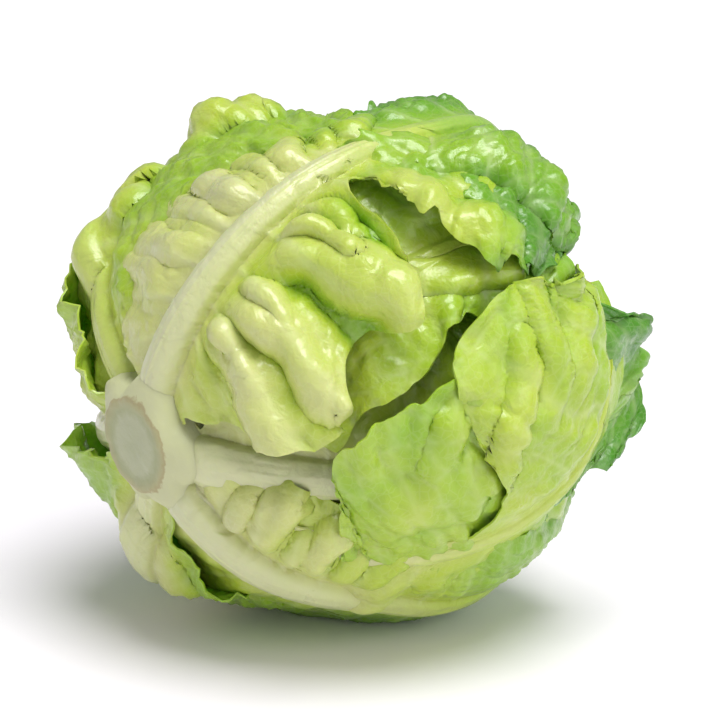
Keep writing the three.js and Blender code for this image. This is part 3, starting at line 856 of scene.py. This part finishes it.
# The leaves' forms, in millimetres and degrees. left and right give the margin as share of the rib, along,
# across and lift. rise is share of the rib and offset. rib is half width and height. A fold is along and
# across of both its ends, half width at both, height and bow. ruffle is size and waves.
WIDE_MARGIN = (
    (0, 20, 7, 0), (0.1, 34, 20, 0), (0.25, 62, 42, 0), (0.45, 98, 56, 0), (0.7, 148, 60, 0),
    (0.88, 184, 46, 0), (1, 206, 26, 0),
)
HEART_MARGIN = (
    (0, 70, 10, -2), (0.2, 96, 42, 0), (0.5, 140, 58, 1), (0.8, 190, 50, 2), (1, 226, 26, 3),
)
INNER_FORM = dict(
    radius=64, start=20, length=190, left=WIDE_MARGIN, right=WIDE_MARGIN,
    rib=(5, 2.5), rise=((0, -6), (0.3, -1), (0.8, 1), (1, -3)), ruffle=(1.6, 5),
)
FORMS = {
    "leaf_draped": dict(
        azimuth=-45, radius=79, length=186, drift=-75,
        left=(
            (0, 14, 5, 0), (0.08, 30, 10, 0), (0.16, 46, 14, 0), (0.3, 72, 18, 0), (0.42, 94, 22, 1),
            (0.54, 104, 28, 1), (0.58, 108, 38, 1), (0.62, 103, 50, 1), (0.66, 91, 62, 2),
            (0.7, 78, 73, 3), (0.735, 75, 81, 3), (0.77, 84, 90, 3), (0.81, 101, 97, 3),
            (0.86, 130, 99, 2), (0.91, 160, 94, 2), (0.95, 184, 86, 3), (1, 200, 81, 4),
        ),
        right=(
            (0, 14, 5, 0), (0.08, 30, 10, 0), (0.16, 46, 18, 0), (0.3, 72, 19, 0), (0.45, 100, 4, -1),
            (0.6, 129, -17, -3), (0.75, 156, -34, -2), (0.88, 182, -48, 0), (1, 205, -66, 2),
        ),
        rib=(4, 1.5),
        rise=((0, -3), (0.12, -6), (0.33, -7.5), (0.47, -5), (0.6, -2), (0.7, 0), (0.9, 0), (1, -4)),
        folds=(
            (104, -42, 118, -78, 5, 8, 3.5, 3), (122, -58, 140, -98, 7, 11, 3.5, -3),
            (140, -60, 172, -86, 7, 10, 3, 0),
        ),
        ruffle=(1.8, 5), seed=5,
    ),
    "leaf_folded": dict(
        azimuth=-30, radius=68, length=150,
        left=(
            (0, 14, 5, 0), (0.16, 38, 9, 0), (0.3, 56, 12, 2), (0.4, 66, 20, 4), (0.45, 61, 30, 8),
            (0.5, 51, 41, 12), (0.56, 38, 51, 14), (0.62, 34, 62, 14), (0.7, 40, 76, 12),
            (0.78, 54, 90, 9), (0.87, 84, 96, 5), (0.93, 122, 89, 4), (1, 156, 62, 2),
        ),
        right=(
            (0, 14, 5, 0), (0.2, 40, 12, 0), (0.5, 85, 30, 0), (0.8, 120, 36, 0), (1, 145, 24, 0),
        ),
        rib=(5, 2.5), rise=((0, -6), (0.3, -5), (0.5, -3), (0.7, 1), (0.85, 4), (1, 2)),
        folds=(
            (60, -46, 88, -58, 10, 14, 4, 0), (96, -40, 70, -78, 6, 9, 3, 2),
        ),
        ruffle=(1, 5), seed=4,
    ),
    "leaf_crest": dict(
        azimuth=-160, radius=76, length=176,
        left=(
            (0, 14, 7, 0), (0.06, 18, 12, 0), (0.13, 22, 34, -5), (0.2, 32, 58, -7),
            (0.28, 50, 62, -6), (0.36, 66, 46, -4), (0.43, 81, 31, -3), (0.5, 95, 23, -3),
            (0.6, 112, 19, -3), (0.72, 134, 27, -7), (0.86, 160, 40, -9), (1, 184, 26, -2),
        ),
        right=(
            (0, 14, 7, 0), (0.05, 15, 14, 0), (0.11, 22, 30, 0), (0.18, 26, 46, 0), (0.25, 44, 56, 0),
            (0.3, 56, 46, -3), (0.34, 69, 44, 0), (0.38, 83, 53, 1), (0.43, 95, 34, 2),
            (0.47, 97, 14, 0), (0.515, 102, 10, 0), (0.6, 107, 27, 1), (0.72, 117, 48, 3),
            (0.87, 150, 54, -3), (1, 184, 30, -2),
        ),
        rib=(6.5, 6), rise=((0, -1), (0.15, 0), (0.45, 0), (0.58, -1), (0.7, 0), (0.85, 4), (1, -4)),
        folds=(
            (88, 6, 97, 38, 5, 9, 7, 7), (81, 8, 88, 24, 2.5, 3.5, 5, 4),
            (66, 11, 82, 52, 8, 12.5, 9.5, 3), (73, 10, 83, 30, 2.5, 3.5, 10, 4),
            (54, 10, 46, 49, 7, 11, 8.5, 5), (58, 11, 56, 32, 2.5, 3.5, 8.5, 3),
            (50, 42, 62, 56, 5, 7, 6, 0), (44, 10, 25, 44, 5, 10, 7, 3),
            (46, 10, 40, 26, 2.2, 3, 8, 1), (36, 36, 33, 54, 5, 7, 5, 0),
            (107, 6, 119, 46, 6, 11, 6, -3), (126, 8, 160, 38, 9, 14, 5, 0),
            (117, -4, 126, -17, 3.5, 6, 2.6, 1), (106, -5, 112, -22, 2.2, 3.2, 1.6, -2),
            (98, -5, 102, -20, 4, 7, 3.4, 2), (87, -5, 88, -27, 2, 3.4, 2, -2),
            (79, -6, 77, -25, 3.5, 6, 3, 1), (69, -6, 64, -38, 2.2, 4, 1.8, -2),
            (60, -7, 52, -42, 3.5, 7, 2.4, 2), (48, -8, 40, -46, 4, 9, 1.6, 0),
        ),
        ruffle=(1, 5), seed=1,
    ),
    "leaf_base": dict(
        azimuth=-34, radius=75, length=160, drift=12,
        left=(
            (0, 14, 7, 0), (0.1, 20, 16, -1), (0.18, 31, 30, -2), (0.26, 44, 35, -4),
            (0.34, 60, 36, -5), (0.44, 80, 33, -4), (0.6, 106, 34, -3), (0.8, 134, 32, -2),
            (1, 168, 14, -2),
        ),
        right=(
            (0, 14, 7, 0), (0.1, 22, 14, 0), (0.25, 44, 36, 1), (0.6, 104, 60, 5), (1, 164, 44, 1),
        ),
        rib=(8, 6),
        rise=((0, -1), (0.2, 0), (0.35, -2), (0.48, -3), (0.6, 0), (0.72, 2), (0.86, 1), (1, -1)),
        folds=(
            (36, -8, 34, -19, 3, 5, 3.5, 0), (45, -9, 43, -27, 4, 6.5, 5, 1.5),
            (53, -9, 54, -20, 2.5, 3.5, 4, -1), (61, -8, 62, -27, 4.5, 6.5, 5.5, 1),
            (71, -8, 74, -21, 3, 4.5, 3.5, 0), (80, -7, 85, -23, 4, 6, 3, 1),
        ),
        ruffle=(1.5, 5), seed=3,
    ),
    "leaf_back_low": dict(
        azimuth=25, radius=74, length=180,
        left=(
            (0, 14, 6, 0), (0.1, 22, 14, 0), (0.2, 40, 24, -3), (0.35, 62, 36, -7), (0.6, 106, 46, -7),
            (0.8, 150, 42, -5), (1, 190, 26, -2),
        ),
        right=(
            (0, 14, 6, 0), (0.08, 18, 16, 3), (0.15, 28, 30, 6), (0.23, 42, 46, 4), (0.4, 72, 52, 2),
            (0.78, 146, 54, 2), (1, 190, 30, 0),
        ),
        rib=(6, 4), rise=((0, -3), (0.15, 3), (0.3, 5), (0.5, 1), (0.8, 0), (1, -5)),
        folds=(
            (36, 12, 54, -4, 9, 10, 7, 0),
        ),
        ruffle=(2.2, 5), seed=8,
    ),
    "leaf_back_high": dict(
        azimuth=75, radius=74, length=180,
        left=(
            (0, 14, 6, 0), (0.1, 22, 10, -2), (0.2, 34, 22, -5), (0.3, 50, 38, -7), (0.45, 78, 50, -8),
            (0.8, 148, 54, -7), (1, 190, 32, -3),
        ),
        right=(
            (0, 14, 6, 0), (0.09, 20, 16, 2), (0.17, 32, 32, 7), (0.26, 46, 44, 9), (0.4, 70, 52, 6),
            (0.75, 142, 58, 3), (1, 190, 32, 1),
        ),
        rib=(6, 4), rise=((0, -3), (0.2, 1), (0.4, 2), (0.8, 1), (1, -5)),
        ruffle=(2.2, 5), seed=7,
    ),
    "leaf_shoulder": dict(
        azimuth=130, radius=74, length=176,
        left=(
            (0, 14, 6, 0), (0.1, 22, 14, -3), (0.22, 40, 32, -9), (0.36, 66, 48, -12),
            (0.6, 112, 58, -11), (0.82, 156, 52, -7), (1, 186, 30, -3),
        ),
        right=(
            (0, 14, 6, 0), (0.08, 20, 14, -2), (0.2, 42, 36, -8), (0.33, 66, 52, -8),
            (0.44, 88, 60, -9), (0.54, 106, 66, -11), (0.66, 126, 67, -12), (0.82, 156, 54, -9),
            (1, 186, 26, -2),
        ),
        rib=(6, 4), rise=((0, -4), (0.2, 2), (0.4, 3.6), (0.6, 2.6), (0.8, 1), (1, -5)),
        folds=(
            (56, -10, 80, 8, 12, 13, 7, 0), (101, 24, 117, 32, 9, 12, 10, 0),
        ),
        ruffle=(2, 5), seed=6,
    ),
    "leaf_facing": dict(
        azimuth=-79, radius=67, length=176,
        left=(
            (0, 14, 7, 0), (0.1, 22, 16, -2), (0.28, 48, 38, -5), (0.5, 90, 52, -6),
            (0.75, 130, 52, -6), (1, 178, 24, 2),
        ),
        right=(
            (0, 14, 7, 0), (0.1, 24, 10, 0), (0.28, 56, 22, -4), (0.5, 90, 28, -4),
            (0.75, 130, 18, -2), (1, 176, 10, 3),
        ),
        rib=(8, 6), rise=((0, 7), (0.12, 2), (0.3, 1), (0.6, 2), (0.8, 8.5), (1, 17)),
        ruffle=(2, 5), seed=2,
    ),
    "leaf_tucked": dict(
        azimuth=-130, radius=70, length=145,
        left=(
            (0, 14, 5, 0), (0.1, 24, 9, 0), (0.3, 56, 16, -3), (0.5, 86, 40, -3), (0.8, 120, 44, 0),
            (1, 150, 28, 0),
        ),
        right=(
            (0, 14, 5, 0), (0.15, 36, 12, 0), (0.28, 52, 36, 5), (0.36, 62, 34, 6), (0.45, 76, 31, 6),
            (0.54, 90, 30, 6), (0.6, 98, 24, 5), (0.68, 106, 20, 3), (0.8, 124, 24, 0),
            (1, 150, 22, 0),
        ),
        rib=(5, 2.5), rise=((0, -7), (0.4, -1), (0.6, 2), (0.8, 5), (1, 6)),
        folds=(
            (98, 6, 128, 12, 5, 7, 4, 0), (108, -14, 134, -8, 5, 8, 4, 2),
        ),
        ruffle=(1.2, 5), seed=11,
    ),
    "leaf_inner_top": dict(azimuth=165, seed=9, **INNER_FORM),
    "leaf_inner_side": dict(azimuth=50, seed=10, **INNER_FORM),
}
RELIEFS = {
    # Painted light: the draped leaf's tones are drawn paler than its own green, for the strong light and
    # sheen on it from the right
    "leaf_draped": Relief(
        ((0, 0.04), (0.33, 0.1), (0.45, 0.34), (1, 0.48)),
        ((0, 0.04), (0.33, 0.1), (0.45, 0.42), (1, 0.54)),
        spacing=19, pleat=1.2, pucker=0.6, cell=10, frill=0.8, ragged=0.4, pale_rib=0.35,
        spots=((188, -76, 4.5),),
    ),
    "leaf_folded": Relief(
        ((0, 0.1), (0.4, 0.42), (1, 0.5)), ((0, 0.3), (1, 0.6)),
        spacing=16, pleat=0.9, pucker=0.5, cell=10, frill=1.0, crease=1.1,
    ),
    "leaf_crest": Relief(
        ((0, 0.03), (0.35, 0.12), (0.5, 0.3), (0.7, 0.66), (1, 0.85)),
        ((0, 0.12), (0.2, 0.34), (0.35, 0.5), (0.5, 0.52), (0.66, 0.5), (0.76, 0.74), (1, 0.88)),
        spacing=12, pleat=1.2, pucker=1.1, cell=8, frill=1.4, ragged=1.9, crease=1.1,
        # Deeper painted shade in the valleys between the crest's puffed lobes
        smooth_to=(0.62, 0.78), fold_shade=0.3,
    ),
    "leaf_base": Relief(
        ((0, 0.05), (0.3, 0.3), (0.7, 0.55), (1, 0.7)), ((0, 0.1), (0.5, 0.55), (1, 0.75)),
        spacing=12, pleat=0.8, pucker=0.5, frill=0.5, ragged=0.8, smooth_to=(0.4, 0.7),
    ),
    "leaf_back_low": Relief(((0, 0.4), (1, 0.75)), ((0, 0.42), (0.4, 0.62), (1, 0.8)), frill=2.4),
    "leaf_back_high": Relief(
        ((0, 0.3), (0.4, 0.5), (1, 0.75)), ((0, 0.32), (0.3, 0.42), (1, 0.75)), frill=2.4,
    ),
    "leaf_shoulder": Relief(
        ((0, 0.3), (1, 0.7)), ((0, 0.36), (0.3, 0.46), (1, 0.56)), frill=2.0, pale_rib=0.3,
    ),
    "leaf_facing": Relief(
        ((0, 0.08), (0.5, 0.4), (1, 0.95)), ((0, 0.08), (0.5, 0.4), (0.8, 0.8), (1, 0.98)),
        frill=2.2, pleat=0.9, pucker=0.5, smooth_to=(0.4, 0.7),
    ),
    "leaf_tucked": Relief(
        ((0, 0.3), (0.4, 0.38), (0.7, 0.5), (1, 0.6)), ((0, 0.3), (0.4, 0.36), (0.7, 0.5), (1, 0.6)),
        pale_rib=0.5, spacing=18, pleat=1.0, pucker=0.35, cell=9, frill=1.2,
    ),
    "leaf_inner_top": Relief(((0, 0.3), (1, 0.66)), ((0, 0.3), (1, 0.66))),
    "leaf_inner_side": Relief(((0, 0.3), (1, 0.66)), ((0, 0.3), (1, 0.66))),
}
FINE_GRID = (210, 190)        # rows and columns of a leaf seen close
MAIN_GRID = (170, 150)
MAIN_LEAVES = ("leaf_draped", "leaf_folded", "leaf_base", "leaf_facing")
PALE_LEAVES = ("leaf_crest", "leaf_base", "leaf_facing")


def outer_leaves() -> list[Leaf]:
    """The outer leaves, each with its grid and material slot.

    Returns:
        The leaves, not yet built.
    """
    leaves = []
    for node, form in FORMS.items():
        slot = Slot.PALE if node in PALE_LEAVES else Slot.LEAF
        leaf = Leaf(name=node + "_blade", node=node, relief=RELIEFS[node], slot=slot, **form)
        if node == "leaf_crest":
            leaf.rows, leaf.columns = FINE_GRID
        elif node in MAIN_LEAVES:
            leaf.rows, leaf.columns = MAIN_GRID
        leaves.append(leaf)
    return leaves


def heart_leaves() -> list[Leaf]:
    """The three leaves that close over the crown, each over the one before.

    Returns:
        The leaves, not yet built.
    """
    relief = Relief(((0, 0.2), (1, 0.5)), ((0, 0.2), (1, 0.5)), pleat=1.2)
    lowest, layer = 56, 2         # the first leaf's distance from the middle, and from leaf to leaf
    return [
        Leaf(name=f"heart_leaf_{turn}", azimuth=azimuth, radius=lowest + layer * turn, start=66, length=168,
             left=HEART_MARGIN, right=HEART_MARGIN, rib=(5, 2), ruffle=(1.6, 4), seed=20 + turn,
             rise=((0, -7 - layer * turn), (0.25, 0), (0.7, 1), (1, 2)), relief=relief,
             node="heart", slot=Slot.HEART, rows=90, columns=80)
        for turn, azimuth in enumerate((-110, 10, 130))
    ]


@dataclass(frozen=True)
class Studio:
    """Pale floor, soft lights and the camera at the photograph's angle, in metres and degrees."""

    target: tuple = (0.002, 0.0, 0.0765)
    elevation: float = 15.0
    distance: float = 0.796
    lens: float = 135.0           # mm
    sensor: float = 36.0          # mm
    floor_width: float = 30.0
    paper: str = "#F6F2F9"
    sky: float = 0.38
    # Each lamp's name, the place that it shines from, the angle that it fills and its strength
    lamps: tuple = (("key", (0.16, -0.18, 0.96), 34, 2.6), ("side", (0.75, -0.6, 0.5), 44, 0.75))

    def floor(self) -> bpy.types.Object:
        """A wide pale floor.

        Returns:
            The floor.
        """
        deselect()
        bpy.ops.mesh.primitive_plane_add(size=self.floor_width)
        floor = bpy.context.object
        floor.name = "floor"
        # Matt white paper has no gloss, so the floor mirrors nothing
        material, shader = fresh_material("Matt white paper")
        feed(material, shader, {"Base Color": linear(self.paper), "Roughness": 0.9})
        floor.data.materials.append(material)
        return floor

    def light(self, name: str, at: tuple, spread: float, power: float) -> None:
        """One wide soft light that points at the head, even over the whole floor.

        Args:
            name: The light's name.
            at: The place that it shines from.
            spread: The angle that it fills, in degrees.
            power: Its strength.
        """
        deselect()
        bpy.ops.object.light_add(type="SUN", location=at)
        lamp = bpy.context.object
        lamp.name = name
        lamp.data.angle = math.radians(spread)
        lamp.data.energy = power
        lamp.rotation_euler = (Vector(self.target) - Vector(at)).to_track_quat("-Z", "Y").to_euler()

    def camera(self) -> None:
        """The camera, which looks down on the head by the elevation."""
        rise = math.radians(self.elevation)
        back = Vector((0, -math.cos(rise), math.sin(rise)))
        deselect()
        bpy.ops.object.camera_add(location=Vector(self.target) + back * self.distance)
        camera = bpy.context.object
        camera.rotation_euler = (-back).to_track_quat("-Z", "Y").to_euler()
        camera.data.lens = self.lens
        camera.data.sensor_width = self.sensor
        bpy.context.scene.camera = camera

    def build(self) -> None:
        """Sets the floor, the sky, the lights and the camera."""
        self.floor()
        world = bpy.data.worlds.new("Studio")
        world.use_nodes = True
        feed(world, world.node_tree.nodes["Background"], {"Color": (1, 1, 1, 1), "Strength": self.sky})
        bpy.context.scene.world = world
        bpy.context.scene.view_settings.view_transform = "Standard"
        for lamp in self.lamps:
            self.light(*lamp)
        self.camera()


def attach(obj: bpy.types.Object, material: bpy.types.Material, node: str) -> None:
    """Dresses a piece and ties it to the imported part.

    Args:
        obj: The finished piece.
        material: Its material.
        node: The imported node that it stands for.
    """
    obj.data.materials.clear()
    obj.data.materials.append(material)
    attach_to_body(obj, "root")
    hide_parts(node)
    log.info("%s: %d faces", obj.name, len(obj.data.polygons))


def main() -> None:
    logging.basicConfig(level=logging.INFO, format="%(message)s")
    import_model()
    blade = BladeFinish().material()
    attach(Stem().build(), StumpFinish().material(), "stem")
    for leaf in outer_leaves():
        attach(leaf.build(), blade, leaf.node)
    attach(Heart(leaves=heart_leaves()).build(), blade, "heart")
    Studio().build()


if __name__ == "__main__":
    main()
